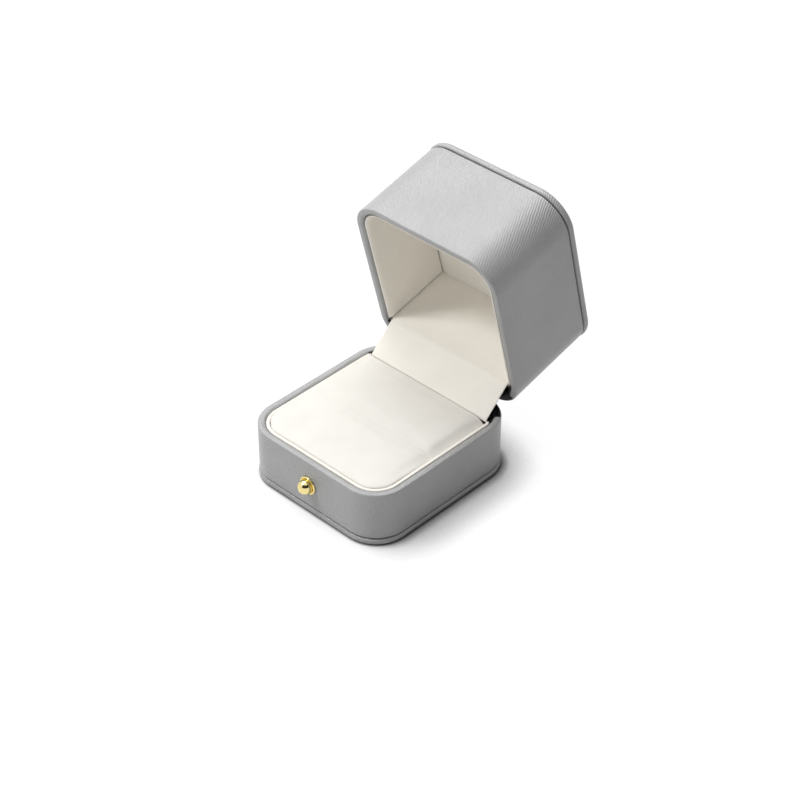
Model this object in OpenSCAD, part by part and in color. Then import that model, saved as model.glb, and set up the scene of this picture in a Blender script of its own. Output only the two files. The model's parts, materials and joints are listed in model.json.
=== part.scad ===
// Hinged ring box: leatherette outside, ivory suede inside, slit ring cushion, snap hinge
// Origin in the middle of the underside, +Z up, the stud faces -Y, the hinge is at +Y
// The lid is drawn open, where its hinge holds it

/* [Box] */
// Width of the box, side to side
box_w = 56; // [52:1:66]
// Depth of the box, front to back
box_d = 60; // [56:1:72]
// Height of the base, underside to rim
base_h = 19; // [18:0.5:24]
// Height of the lid, rim to top
lid_h = 34.3; // [32:0.1:42]
// Radius of the upright corners, seen from above
corner_r = 11; // [9:0.5:12]
// Angle at which the lid stands open
lid_open_deg = 75.5; // [68:0.5:82]
// Gap between the two rims when shut
seam_gap = 0.2; // [0.15:0.05:0.4]

/* [Shells and skins] */
// Thickness of a wall, with its skin on both faces
wall_t = 2.5; // [2.3:0.1:3]
// Thickness of the leatherette
skin_t = 0.5; // [0.4:0.05:0.6]
// Thickness of the moulded floor
floor_t = 1.2; // [1:0.1:1.6]
// Rounding of the rim's two edges
rim_r = 0.8; // [0.65:0.05:1]
// Depth to which the skin is turned in over the rim
turn_in = 5; // [4.6:0.1:5.4]

/* [Closing plates] */
// Thickness of the covered board under the base and on the lid
plate_t = 2.3; // [2:0.1:2.8]
// Rounding of the covered board's outer edges
plate_edge_r = 0.9; // [0.7:0.05:1]
// Width of the skin turned over onto the board's hidden face
plate_turn = 6; // [4:0.5:7]
// Height of the shadow groove beside the board
groove_h = 0.4; // [0.3:0.05:0.6]

/* [Lining] */
// Thickness of the lining card
card_t = 0.8; // [0.6:0.05:1]
// Thickness of the suede
suede_t = 0.4; // [0.3:0.05:0.5]
// Drop of the lining's edge below the rim
lining_drop = 0.3; // [0.2:0.05:0.5]
// Thickness of the pad between the lid's top and its deep lining panel
lid_pad_t = 4.3; // [3:0.1:7]
// Distance from the outer back face to the lid's back lining
back_room = 10; // [9.5:0.1:10.5]
// Length of the gap left in the card where the flap folds
fold_gap = 1; // [0.9:0.05:1.3]
// Distance between the cushion and the flap's foot
foot_gap = 0.6; // [0.5:0.05:0.8]
// Height of the flap's foot above the rim
foot_rise = 0.3; // [0.2:0.05:0.5]
// Width of the flap's suede that has no card behind it
flap_hem = 2.5; // [2:0.1:3]
// Gap between the flap's edges and the lining, where it swings
flap_side_gap = 0.6; // [0.55:0.05:0.9]
// Play between the shut flap's foot and the walls round it
flap_play = 0.25; // [0.2:0.05:0.4]

/* [Cushion] */
// Height of the cushion's crown above the rim
crown_rise = 0.3; // [0:0.1:0.4]
// Rise of the crown over the cushion's shoulders
crown_h = 0.5; // [0.3:0.1:0.8]
// Width of the rounded shoulder
shoulder_w = 2.4; // [1.8:0.1:3]
// Depth of the rounded shoulder
shoulder_h = 1.6; // [1.2:0.1:2]
// Amount by which the sides draw in towards the bottom
draw_in = 0.6; // [0.3:0.1:1]
// Place of the ring slit, from the middle of the box
slit_y = -2.8; // [-4:0.1:-2]
// Width of the ring slit
slit_w = 0.3; // [0.2:0.05:0.6]
// Thickness of the wadding and suede over the foam
cover_t = 3.2; // [3:0.1:3.6]
// Thickness of the board under the cushion
cushion_board_t = 0.8; // [0.6:0.1:1.2]
// Play around the cushion
cushion_play = 0.2; // [0.15:0.05:0.4]

/* [Stud] */
// Depth of the stud's centre below the rim
stud_drop = 8.4; // [8.1:0.1:9]
// Diameter of the stud's ball
ball_d = 4.2; // [3.6:0.1:5]
// Diameter of the rosette
rosette_d = 6.4; // [5.6:0.1:7]
// Thickness of the rosette
rosette_t = 0.7; // [0.5:0.05:0.9]
// Diameter of the stud's shank
shank_d = 1.8; // [1.4:0.1:2]
// Diameter of the washer behind the wall
washer_d = 4.4; // [3.6:0.1:5]
// Thickness of the washer
washer_t = 0.35; // [0.25:0.05:0.4]

/* [Hinge] */
// Depth of the hinge axis below the base's rim
axis_drop = 1.6; // [1.55:0.05:1.8]
// Diameter of the hinge pin
pin_d = 1.2; // [1:0.05:1.3]
// Radial play of the lid's knuckles on the pin
pin_play = 0.05; // [0.03:0.01:0.08]
// Diameter of the knuckles
barrel_d = 2.8; // [2.6:0.1:2.9]
// Number of knuckles, the outer ones on the base
knuckles = 5; // [3:2:7]
// Play between knuckles, and around them
knuckle_gap = 0.3; // [0.2:0.05:0.35]
// Thickness of the hinge's sheet steel
leaf_t = 0.6; // [0.55:0.05:0.7]
// Depth of the leaf's flange inside the back wall
flange_h = 5.4; // [5:0.1:6]
// Depth of the leaf's flange round the corners
corner_flange_h = 2.4; // [2:0.1:3]
// Angle into the rear corner at which the leaf starts
leaf_start_deg = 34; // [28:1:45]
// Angle into the rear corner at which the flange starts
flange_start_deg = 12; // [11:1:20]
// Diameter of the rivets
rivet_d = 1.2; // [1:0.1:1.3]
// Diameter of the rivet heads
rivet_head_d = 2.4; // [2:0.1:2.8]
// Thickness of the rivet heads
rivet_head_t = 0.4; // [0.3:0.05:0.5]
// Distance between neighbouring rivets
rivet_pitch = 11; // [9:0.5:12]
// Thickness of the snap spring
spring_t = 0.4; // [0.3:0.05:0.5]
// Width of the snap spring
spring_w = 8; // [6:0.5:9]
// Height of the snap spring's straight part above the rim
spring_rise = 1.2; // [0.8:0.1:1.4]

/* [Hidden] */

// Colours
leatherette = [0.62, 0.62, 0.63];
ivory = [0.93, 0.92, 0.88];
greyboard = [0.62, 0.60, 0.56];
moulding = [0.30, 0.30, 0.31];
black_steel = [0.07, 0.07, 0.07];
bright_steel = [0.72, 0.72, 0.74];
gold = [0.90, 0.72, 0.30];
foam_tone = [0.88, 0.86, 0.80];

// Overrun of every cut past its face, and facets of the preview
over = 0.5;
arc_fn = 96;
small_fn = 32;

// Walls and lining, as depths inwards from the outer face
core_in = wall_t - skin_t;
card_in = wall_t + card_t;
lining_in = card_in + suede_t;
leaf_in = wall_t + leaf_t;
room_half_w = box_w / 2 - lining_in;
shell_floor_z = plate_t + floor_t;
lid_z0 = base_h + seam_gap;
lid_top_z = lid_z0 + lid_h;
lid_ceiling_z = lid_top_z - shell_floor_z;
lid_deep_z = lid_ceiling_z - lid_pad_t - card_t - suede_t;

// Hinge, with its axis on the outer back face
axis_y = box_d / 2;
axis_z = base_h - axis_drop;
barrel_l = box_w - 2 * corner_r - 2 * knuckle_gap;
knuckle_l = (barrel_l - (knuckles - 1) * knuckle_gap) / knuckles;
recess_y = axis_y - barrel_d / 2 - knuckle_gap;
recess_z = axis_z - barrel_d / 2 - knuckle_gap;
arm_t = leaf_t + knuckle_gap / 2;
rivet_drop = (base_h - recess_z + turn_in) / 2;
rivet_bite_share = 0.7;
rivet_tip_in = core_in - rivet_bite_share * (core_in - skin_t);
rivet_x = [-rivet_pitch, 0, rivet_pitch];
flange_y = axis_y - leaf_in;
spring_foot_top = base_h - rivet_drop + rivet_head_d / 2 + spring_t;
spring_y = flange_y - leaf_t - knuckle_gap;
spring_bend_h = flange_y - spring_y;
spring_hook_share = 0.6;

// Flap, as places in depth and height: its fold on the shut lid, its foot at the open lid
back_y = axis_y - back_room;
cushion_back_y = back_y + cushion_play;
fold = [back_y, lid_z0 + lining_drop];
foot = [cushion_back_y + foot_gap, base_h + foot_rise];
foot_shut = to_shut(foot);
flap_len = norm(foot_shut - fold);
flap_deg = atan2(foot_shut[0] - fold[0], fold[1] - foot_shut[1]);
fold_half_w = room_half_w - lining_drop;
flap_half_w = room_half_w - flap_side_gap;
flap_taper_share = 0.42;

// Stud and cushion
stud_z = base_h - stud_drop;
cushion_z0 = shell_floor_z + cushion_board_t;
cushion_top = base_h + crown_rise;
shoulder_top = cushion_top - crown_h;
cushion_half_w = room_half_w - cushion_play;
cushion_front_y = lining_in + cushion_play - box_d / 2;
cushion_corner_r = corner_r - lining_in - cushion_play;
cushion_small_r = shoulder_w / 2;
cushion_least_r = cushion_play;
side_steps = 2;
shoulder_steps = 5;
crown_steps = 5;
corner_steps = 5;
edge_steps = 5;

function to_shut(p) =
    let (y = p[0] - axis_y, z = p[1] - axis_z)
    [axis_y + y * cos(lid_open_deg) - z * sin(lid_open_deg),
     axis_z + y * sin(lid_open_deg) + z * cos(lid_open_deg)];

// The lid's pieces are made shut and turned open about the hinge axis
module lid_open() {
    translate([0, axis_y, axis_z]) rotate([-lid_open_deg, 0, 0])
        translate([0, -axis_y, -axis_z]) children();
}

// A base turned over, rim down on the base's rim
module upside_down() {
    translate([0, 0, lid_top_z]) mirror([0, 0, 1]) children();
}

// Outline of the box from above, drawn in by inset
module plan(inset) {
    w = box_w - 2 * inset;
    d = box_d - 2 * inset;
    r = corner_r - inset;
    square([w, d - 2 * r], center = true);
    square([w - 2 * r, d], center = true);
    for (sx = [-1, 1], sy = [-1, 1])
        translate([sx * (w / 2 - r), sy * (d / 2 - r)]) circle(r, $fn = arc_fn);
}

module slab(inset, z0, z1) {
    translate([0, 0, z0]) linear_extrude(z1 - z0) plan(inset);
}

// Wall sections: the first size runs inwards from the outer face, the second upwards
function side_half(k) = (k % 2 == 0 ? box_w : box_d) / 2;
function side_len(k) = (k % 2 == 0 ? box_d : box_w) - 2 * corner_r;

module side(k) {
    rotate([0, 0, 90 * k]) translate([side_half(k), side_len(k) / 2, 0])
        rotate([90, 0, 0]) linear_extrude(side_len(k)) mirror([1, 0]) children();
}

module corner(k) {
    rotate([0, 0, 90 * k]) translate([side_half(k) - corner_r, side_len(k) / 2, 0])
        rotate_extrude(angle = 90, $fn = arc_fn)
            translate([corner_r, 0]) mirror([1, 0]) children();
}

module all_round() {
    for (k = [0:3]) {
        side(k) children();
        corner(k) children();
    }
}

// Everything behind an angle into both rear corners, from z0 to z1
module rear_prism(from, z0, z1) {
    x = box_w / 2 - corner_r;
    y = box_d / 2 - corner_r;
    reach = corner_r + 2 * over;
    translate([0, 0, z0]) linear_extrude(z1 - z0)
        polygon([[-x, y], [x, y], [x + reach, y + reach * tan(from)], [x + reach, y + reach],
            [-x - reach, y + reach], [-x - reach, y + reach * tan(from)]]);
}

module section_box(x0, x1, z0, z1) {
    translate([x0, z0]) square([x1 - x0, z1 - z0]);
}

module rounded_rim(x0, x1, z0, z1, r) {
    section_box(x0, x1, z0, z1 - r);
    section_box(x0 + r, x1 - r, z0, z1);
    for (x = [x0 + r, x1 - r]) translate([x, z1 - r]) circle(r, $fn = small_fn);
}

// Moulded tray of height h, rim up
module tray(h) {
    all_round() rounded_rim(skin_t, core_in, plate_t, h - skin_t, rim_r - skin_t);
    slab(skin_t, plate_t, shell_floor_z);
}

// Leatherette over the outside of the tray, the rim and the top of the inside
module tray_skin(h) {
    all_round() difference() {
        rounded_rim(0, wall_t, plate_t + groove_h, h, rim_r);
        rounded_rim(skin_t, core_in, plate_t, h - skin_t, rim_r - skin_t);
        section_box(core_in, wall_t + over, plate_t, h - turn_in);
    }
}

// Covered board, its outer face at zero
module plate_board() {
    slab(skin_t, skin_t, plate_t - skin_t);
}

module plate_skin() {
    r = plate_edge_r;
    all_round() difference() {
        union() {
            section_box(0, plate_turn, r, plate_t - r);
            section_box(r, plate_turn, 0, plate_t);
            for (z = [r, plate_t - r]) translate([r, z]) circle(r, $fn = small_fn);
        }
        section_box(skin_t, plate_turn + over, skin_t, plate_t - skin_t);
    }
    slab(plate_turn, 0, skin_t);
}

// Seat of the hinge leaf: the rear rim is lower there by the leaf's thickness
module leaf_seat(h) {
    rear_prism(leaf_start_deg, h - leaf_t, h + over);
}

module barrel_recess() {
    translate([-barrel_l / 2 - knuckle_gap, recess_y, recess_z])
        cube([barrel_l + 2 * knuckle_gap, axis_y - recess_y + over, base_h - recess_z + over]);
}

// Rivet shanks through the back wall at height z, up to the tip inside the wall
module rivet_shanks(z, extra = 0) {
    for (x = rivet_x)
        translate([x, flange_y - extra, z]) rotate([-90, 0, 0])
            cylinder(d = rivet_d, h = axis_y - rivet_tip_in - flange_y + extra, $fn = small_fn);
}

module stud_place() {
    translate([0, -box_d / 2, stud_z]) rotate([90, 0, 0]) children();
}

module stud_hole() {
    stud_place() translate([0, 0, -wall_t]) cylinder(d = shank_d, h = wall_t + over, $fn = small_fn);
}

// Base shell, its skin and the board under it
module base_shell() {
    color(moulding) difference() {
        tray(base_h);
        leaf_seat(base_h);
        barrel_recess();
        rivet_shanks(base_h - rivet_drop);
        stud_hole();
    }
}

module base_skin() {
    color(leatherette) difference() {
        tray_skin(base_h);
        leaf_seat(base_h);
        barrel_recess();
        rivet_shanks(base_h - rivet_drop);
        stud_hole();
    }
}

module base_plate_board() { color(greyboard) plate_board(); }

module base_plate_skin() { color(leatherette) plate_skin(); }

// Lining strip round three sides, cut off at depth y_end
module lining_strip(y_end, z0, z1) {
    intersection() {
        all_round() children();
        translate([-box_w / 2, -box_d / 2, z0]) cube([box_w, y_end + box_d / 2, z1 - z0]);
    }
}

module base_collar_card() {
    color(greyboard) lining_strip(cushion_back_y, shell_floor_z, base_h)
        section_box(wall_t, card_in, shell_floor_z, base_h - lining_drop - suede_t);
}

module base_collar_suede() {
    color(ivory) lining_strip(cushion_back_y, shell_floor_z, base_h) {
        section_box(card_in, lining_in, shell_floor_z, base_h - lining_drop);
        section_box(wall_t, lining_in, base_h - lining_drop - suede_t, base_h - lining_drop);
    }
}

// Cushion: two crowned halves side by side, the ring slit between them
module cushion_board() {
    color(greyboard) translate([0, 0, shell_floor_z]) linear_extrude(cushion_board_t)
        intersection() {
            plan(lining_in + cushion_play);
            translate([-cushion_half_w, cushion_front_y])
                square([2 * cushion_half_w, cushion_back_y - cushion_front_y]);
        }
}

function arc_points(cx, cy, r, from) =
    [for (i = [0:corner_steps])
        [cx + r * cos(from + 90 * i / corner_steps), cy + r * sin(from + 90 * i / corner_steps)]];

function edge_points(p, q) =
    [for (i = [1:edge_steps - 1]) p + (q - p) * i / edge_steps];

function last(v) = v[len(v) - 1];

// Outline of one half, drawn in by inset, anticlockwise from the front right corner
function half_outline(y0, y1, front_r, rear_r, inset) =
    let (x = cushion_half_w - inset, a = y0 + inset, b = y1 - inset,
        f = max(front_r - inset, cushion_least_r), r = max(rear_r - inset, cushion_least_r),
        fr = arc_points(x - f, a + f, f, -90), rr = arc_points(x - r, b - r, r, 0),
        rl = arc_points(r - x, b - r, r, 90), fl = arc_points(f - x, a + f, f, 180))
    concat(fr, edge_points(last(fr), rr[0]), rr, edge_points(last(rr), rl[0]),
        rl, edge_points(last(rl), fl[0]), fl, edge_points(last(fl), fr[0]));

function lift(points, z) = [for (p = points) [p[0], p[1], z]];

// Rings from the bottom up: drawn-in side, rounded shoulder, crown
function half_rings(y0, y1, front_r, rear_r) =
    let (side_top = shoulder_top - shoulder_h, mid = [0, (y0 + y1) / 2],
        brow = half_outline(y0, y1, front_r, rear_r, shoulder_w))
    concat(
        [for (i = [0:side_steps - 1]) let (t = i / side_steps)
            lift(half_outline(y0, y1, front_r, rear_r, draw_in * (1 - t) * (1 - t)),
                cushion_z0 + t * (side_top - cushion_z0))],
        [for (i = [0:shoulder_steps]) let (a = 90 * i / shoulder_steps)
            lift(half_outline(y0, y1, front_r, rear_r, shoulder_w * (1 - cos(a))),
                side_top + shoulder_h * sin(a))],
        [for (i = [1:crown_steps - 1]) let (s = 1 - i / crown_steps)
            [for (p = brow) let (q = mid + (p - mid) * s)
                [q[0], q[1], shoulder_top + crown_h * (1 - s * s)]]]);

module half_form(y0, y1, front_r, rear_r) {
    rings = half_rings(y0, y1, front_r, rear_r);
    n = len(rings[0]);
    m = len(rings);
    points = concat([for (ring = rings) each ring], [[0, (y0 + y1) / 2, cushion_top]]);
    faces = concat(
        [[for (j = [0:n - 1]) j]],
        [for (i = [0:m - 2], j = [0:n - 1]) let (k = (j + 1) % n)
            each [[i * n + j, (i + 1) * n + j, (i + 1) * n + k],
                [i * n + j, (i + 1) * n + k, i * n + k]]],
        [for (j = [0:n - 1]) [(m - 1) * n + j, m * n, (m - 1) * n + (j + 1) % n]]);
    polyhedron(points, faces, convexity = 4);
}

// Foam block of one half, z0 down to the board or past it for the cut
module half_foam(y0, y1, below) {
    translate([cover_t - cushion_half_w, y0 + cover_t, cushion_z0 - below])
        cube([2 * (cushion_half_w - cover_t), y1 - y0 - 2 * cover_t,
            shoulder_top - cover_t - cushion_z0 + below]);
}

front_half = [cushion_front_y, slit_y - slit_w / 2];
rear_half = [slit_y + slit_w / 2, cushion_back_y];

module cushion_front_foam() {
    color(foam_tone) half_foam(front_half[0], front_half[1], 0);
}

module cushion_front_cover() {
    color(ivory) difference() {
        half_form(front_half[0], front_half[1], cushion_corner_r, cushion_small_r);
        half_foam(front_half[0], front_half[1], over);
    }
}

module cushion_rear_foam() {
    color(foam_tone) half_foam(rear_half[0], rear_half[1], 0);
}

module cushion_rear_cover() {
    color(ivory) difference() {
        half_form(rear_half[0], rear_half[1], cushion_small_r, cushion_small_r);
        half_foam(rear_half[0], rear_half[1], over);
    }
}

// Stud: a ball on a shank, riveted through the front wall over a round rosette
module stud_ball() {
    translate([0, 0, ball_d / 2]) sphere(d = ball_d, $fn = arc_fn);
}

module stud() {
    color(gold) stud_place() {
        stud_ball();
        translate([0, 0, -core_in - washer_t])
            cylinder(d = shank_d, h = core_in + washer_t + ball_d / 2, $fn = small_fn);
    }
}

module stud_rosette() {
    r = rosette_t / 2;
    color(gold) stud_place() difference() {
        rotate_extrude($fn = arc_fn) {
            translate([shank_d / 2, 0]) square([rosette_d / 2 - r - shank_d / 2, rosette_t]);
            translate([rosette_d / 2 - r, r]) circle(r, $fn = small_fn);
        }
        stud_ball();
    }
}

module stud_washer() {
    color(bright_steel) stud_place() translate([0, 0, -core_in - washer_t]) difference() {
        cylinder(d = washer_d, h = washer_t, $fn = arc_fn);
        translate([0, 0, -over]) cylinder(d = shank_d, h = washer_t + 2 * over, $fn = small_fn);
    }
}

// Hinge leaf over a rear rim at height h: a bent sheet with its flange inside the wall
module leaf_section(h, depth) {
    intersection() {
        rounded_rim(0, leaf_in, 0, h, rim_r);
        union() {
            section_box(0, leaf_in, h - leaf_t, h);
            section_box(wall_t, leaf_in, h - depth, h);
        }
    }
}

module rear_corners(from, h) {
    intersection() {
        union() {
            corner(0) children();
            corner(1) children();
        }
        rear_prism(from, 0, h + over);
    }
}

module leaf_sheet(h) {
    side(1) leaf_section(h, flange_h);
    rear_corners(leaf_start_deg, h) leaf_section(h, corner_flange_h);
    rear_corners(flange_start_deg, h) intersection() {
        leaf_section(h, corner_flange_h);
        section_box(wall_t, leaf_in, 0, h);
    }
}

function knuckle_x(i) = -barrel_l / 2 + i * (knuckle_l + knuckle_gap);

// Knuckles first, first + 2 and so on, with the arm that joins each to its leaf
module knuckle_row(first, arm_top, bore_d) {
    difference() {
        union() {
            children();
            for (i = [first:2:knuckles - 1]) translate([knuckle_x(i), axis_y, axis_z]) {
                rotate([0, 90, 0]) cylinder(d = barrel_d, h = knuckle_l, $fn = arc_fn);
                translate([0, -barrel_d / 2, 0]) cube([knuckle_l, arm_t, arm_top - axis_z]);
            }
        }
        translate([-barrel_l / 2 - over, axis_y, axis_z]) rotate([0, 90, 0])
            cylinder(d = bore_d, h = barrel_l + 2 * over, $fn = arc_fn);
    }
}

module hinge_base_leaf() {
    color(black_steel) knuckle_row(0, base_h - leaf_t / 2, pin_d) difference() {
        leaf_sheet(base_h);
        rivet_shanks(base_h - rivet_drop, over);
        for (i = [1:2:knuckles - 1])
            translate([knuckle_x(i) - knuckle_gap, recess_y, base_h - leaf_t - over])
                cube([knuckle_l + 2 * knuckle_gap, axis_y - recess_y + over, leaf_t + 2 * over]);
    }
}

module hinge_lid_leaf() {
    color(black_steel) lid_open() knuckle_row(1, lid_z0 + leaf_t / 2, pin_d + 2 * pin_play)
        difference() {
            upside_down() leaf_sheet(lid_h);
            rivet_shanks(lid_z0 + rivet_drop, over);
        }
}

module hinge_pin() {
    color(bright_steel) translate([-barrel_l / 2, axis_y, axis_z]) rotate([0, 90, 0])
        cylinder(d = pin_d, h = barrel_l, $fn = arc_fn);
}

// Rivets: shanks in the wall, flat heads on the flange
module rivet_heads(z, x_list, gap) {
    for (x = x_list)
        translate([x, flange_y - gap - rivet_head_t, z]) rotate([-90, 0, 0])
            cylinder(d = rivet_head_d, h = rivet_head_t, $fn = small_fn);
}

module hinge_base_rivets() {
    z = base_h - rivet_drop;
    color(bright_steel) {
        rivet_shanks(z);
        rivet_heads(z, [rivet_x[0], rivet_x[2]], 0);
        rivet_heads(z, [rivet_x[1]], spring_t);
        translate([rivet_x[1], flange_y - spring_t, z]) rotate([-90, 0, 0])
            cylinder(d = rivet_d, h = spring_t, $fn = small_fn);
    }
}

module hinge_lid_rivets() {
    z = lid_z0 + rivet_drop;
    color(bright_steel) lid_open() {
        rivet_shanks(z);
        rivet_heads(z, rivet_x, 0);
    }
}

// Snap spring: a bent strip riveted to the base leaf, its hooked end behind the lid leaf
module hinge_snap_spring() {
    bend_z = spring_foot_top + spring_bend_h;
    hook_z = base_h + spring_rise;
    path = [[flange_y, base_h - flange_h], [flange_y, spring_foot_top], [spring_y, bend_z],
        [spring_y, hook_z],
        [spring_y + spring_hook_share * spring_bend_h, hook_z + spring_hook_share * spring_bend_h]];
    n = len(path);
    color(bright_steel) difference() {
        translate([-spring_w / 2, 0, 0]) rotate([90, 0, 90]) linear_extrude(spring_w)
            polygon(concat(path, [for (i = [1:n]) path[n - i] - [spring_t, 0]]));
        rivet_shanks(base_h - rivet_drop, spring_t + over);
    }
}

// Lid shell, its skin and its covered board
module lid_shell() {
    color(moulding) lid_open() difference() {
        upside_down() {
            difference() {
                tray(lid_h);
                leaf_seat(lid_h);
            }
        }
        rivet_shanks(lid_z0 + rivet_drop);
    }
}

module lid_skin() {
    color(leatherette) lid_open() difference() {
        upside_down() difference() {
            tray_skin(lid_h);
            leaf_seat(lid_h);
        }
        rivet_shanks(lid_z0 + rivet_drop);
    }
}

module lid_plate_board() { color(greyboard) lid_open() upside_down() plate_board(); }

module lid_plate_skin() { color(leatherette) lid_open() upside_down() plate_skin(); }

// Lid lining: a strip round three sides, a back panel with the hinge flap, a deep panel
module lid_wall_card() {
    color(greyboard) lid_open() lining_strip(back_y, lid_z0, lid_deep_z)
        section_box(wall_t, card_in, fold[1] + suede_t, lid_deep_z);
}

module lid_wall_suede() {
    color(ivory) lid_open() lining_strip(back_y, lid_z0, lid_deep_z) {
        section_box(card_in, lining_in, fold[1], lid_deep_z);
        section_box(wall_t, lining_in, fold[1], fold[1] + suede_t);
    }
}

// Upright panel across the lid from depth y0 to y1 and up from z0, trimmed to the walls
module back_panel(y0, y1, z0) {
    intersection() {
        slab(leaf_in, z0, lid_deep_z);
        translate([-box_w / 2, y0, z0]) cube([box_w, y1 - y0, lid_deep_z - z0]);
    }
}

// Flap piece, from depth y0 to y1 behind its face and from s0 to s1 down from the fold,
// drawn in by hem at its edges and trimmed to the room that the base leaves it when shut
module flap_piece(hem, y0, y1, s0, s1) {
    low_z = base_h - turn_in - flap_play;
    high_z = base_h - corner_flange_h - flap_play;
    a = fold_half_w - hem;
    b = flap_half_w - hem;
    waist = -flap_len * flap_taper_share;
    intersection() {
        translate([0, fold[0], fold[1]]) rotate([flap_deg, 0, 0])
            translate([0, y1, 0]) rotate([90, 0, 0]) linear_extrude(y1 - y0)
                polygon([[-a, -s0], [-b, waist], [-b, -s1], [b, -s1], [b, waist], [a, -s0]]);
        union() {
            slab(core_in + flap_play, shell_floor_z, low_z);
            slab(wall_t + flap_play, low_z, high_z);
            slab(leaf_in + flap_play, high_z, fold[1] + over);
        }
    }
}

module lid_back_card() {
    color(greyboard) lid_open()
        back_panel(back_y + suede_t, back_y + suede_t + card_t, fold[1] + suede_t);
}

module lid_back_suede() {
    color(ivory) lid_open() {
        back_panel(back_y, back_y + suede_t, fold[1]);
        flap_piece(0, 0, suede_t, 0, flap_len);
    }
}

module lid_flap_card() {
    color(greyboard) lid_open() flap_piece(flap_hem, suede_t, suede_t + card_t,
        fold_gap, flap_len - suede_t);
}

module lid_deep_suede() {
    color(ivory) lid_open() slab(core_in, lid_deep_z, lid_deep_z + suede_t);
}

module lid_deep_card() {
    color(greyboard) lid_open() slab(core_in, lid_deep_z + suede_t, lid_deep_z + suede_t + card_t);
}

module lid_spacer_foam() {
    color(foam_tone) lid_open() slab(lining_in, lid_deep_z + suede_t + card_t, lid_ceiling_z);
}

base_shell();
base_skin();
base_plate_board();
base_plate_skin();
base_collar_card();
base_collar_suede();
cushion_board();
cushion_front_foam();
cushion_front_cover();
cushion_rear_foam();
cushion_rear_cover();
stud();
stud_rosette();
stud_washer();
hinge_base_leaf();
hinge_pin();
hinge_base_rivets();
hinge_snap_spring();
lid_shell();
lid_skin();
lid_plate_board();
lid_plate_skin();
lid_wall_card();
lid_wall_suede();
lid_back_card();
lid_back_suede();
lid_flap_card();
lid_deep_card();
lid_deep_suede();
lid_spacer_foam();
hinge_lid_leaf();
hinge_lid_rivets();
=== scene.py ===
import json
import math

import bmesh
import bpy
import numpy as np
from mathutils import Matrix, Vector
from mathutils.kdtree import KDTree


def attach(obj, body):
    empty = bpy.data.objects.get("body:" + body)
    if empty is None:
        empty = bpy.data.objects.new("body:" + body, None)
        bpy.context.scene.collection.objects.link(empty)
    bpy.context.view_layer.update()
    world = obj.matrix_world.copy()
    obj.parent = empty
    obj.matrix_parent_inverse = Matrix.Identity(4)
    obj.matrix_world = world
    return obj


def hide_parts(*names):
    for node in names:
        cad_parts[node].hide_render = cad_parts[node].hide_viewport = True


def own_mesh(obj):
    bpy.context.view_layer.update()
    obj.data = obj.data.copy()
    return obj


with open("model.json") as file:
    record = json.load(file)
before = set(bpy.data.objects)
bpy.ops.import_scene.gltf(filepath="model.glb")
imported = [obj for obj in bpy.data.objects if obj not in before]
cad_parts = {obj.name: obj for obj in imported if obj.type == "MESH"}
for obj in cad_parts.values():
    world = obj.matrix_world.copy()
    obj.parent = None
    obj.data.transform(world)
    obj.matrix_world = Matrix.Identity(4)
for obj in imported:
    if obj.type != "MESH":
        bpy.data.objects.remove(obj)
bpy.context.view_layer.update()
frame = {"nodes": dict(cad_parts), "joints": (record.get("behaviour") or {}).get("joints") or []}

# ---------------------------------------------------------------- camera and studio
# The box stands on a white table in even studio light: a large softbox above and behind its left
# side, a small one in front on the left, a weak one in front on the right, and a pale room.
MM = 0.001
CAMERA_AZIMUTH, CAMERA_HEIGHT = math.radians(43.924), math.radians(37.628)
CAMERA_DISTANCE = 625.08 * MM
CAMERA_ASIDE, CAMERA_UP = 6.017 * MM, -3.675 * MM
CAMERA_LENS, CAMERA_SENSOR = 95.157, 36.0
LOOKED_AT = Vector((0, 0, 30 * MM))

back = Vector((math.sin(CAMERA_AZIMUTH) * math.cos(CAMERA_HEIGHT),
               -math.cos(CAMERA_AZIMUTH) * math.cos(CAMERA_HEIGHT), math.sin(CAMERA_HEIGHT)))
right = Vector((math.cos(CAMERA_AZIMUTH), math.sin(CAMERA_AZIMUTH), 0))
up = back.cross(right)
camera = bpy.data.objects.new("camera", bpy.data.cameras.new("camera"))
bpy.context.collection.objects.link(camera)
camera.data.lens, camera.data.sensor_width = CAMERA_LENS, CAMERA_SENSOR
camera.data.clip_start, camera.data.clip_end = 0.01, 50
place = LOOKED_AT + back * CAMERA_DISTANCE + right * CAMERA_ASIDE + up * CAMERA_UP
camera.matrix_world = Matrix.Translation(place) @ Matrix((right, up, back)).transposed().to_4x4()
bpy.context.scene.camera = camera
bpy.context.scene.view_settings.view_transform = "Standard"


def softbox(name, direction, distance, side, watts):
    lamp = bpy.data.lights.new(name, "AREA")
    lamp.shape, lamp.size, lamp.energy = "SQUARE", side, watts
    obj = bpy.data.objects.new(name, lamp)
    bpy.context.collection.objects.link(obj)
    towards = Vector(direction).normalized()
    obj.matrix_world = (Matrix.Translation(LOOKED_AT + towards * distance)
                        @ towards.to_track_quat("Z", "Y").to_matrix().to_4x4())
    return obj


softbox("softbox_overhead", (-0.40, 0.24, 0.885), 0.75, 0.60, 4.4)
softbox("softbox_front_left", (-0.42, -0.47, 0.775), 0.70, 0.14, 2.35)
softbox("softbox_front_right", (0.35, -0.80, 0.48), 0.80, 0.40, 0.9).visible_glossy = False


def maths(tree, operation, a, b=None, c=None, clamp=False):
    """A Math node on numbers or sockets. It gives back its output."""
    node = tree.nodes.new("ShaderNodeMath")
    node.operation, node.use_clamp = operation, clamp
    for socket, value in zip(node.inputs, (a, b, c)):
        if isinstance(value, bpy.types.NodeSocket):
            tree.links.new(value, socket)
        elif value is not None:
            socket.default_value = value
    return node.outputs[0]


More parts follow.
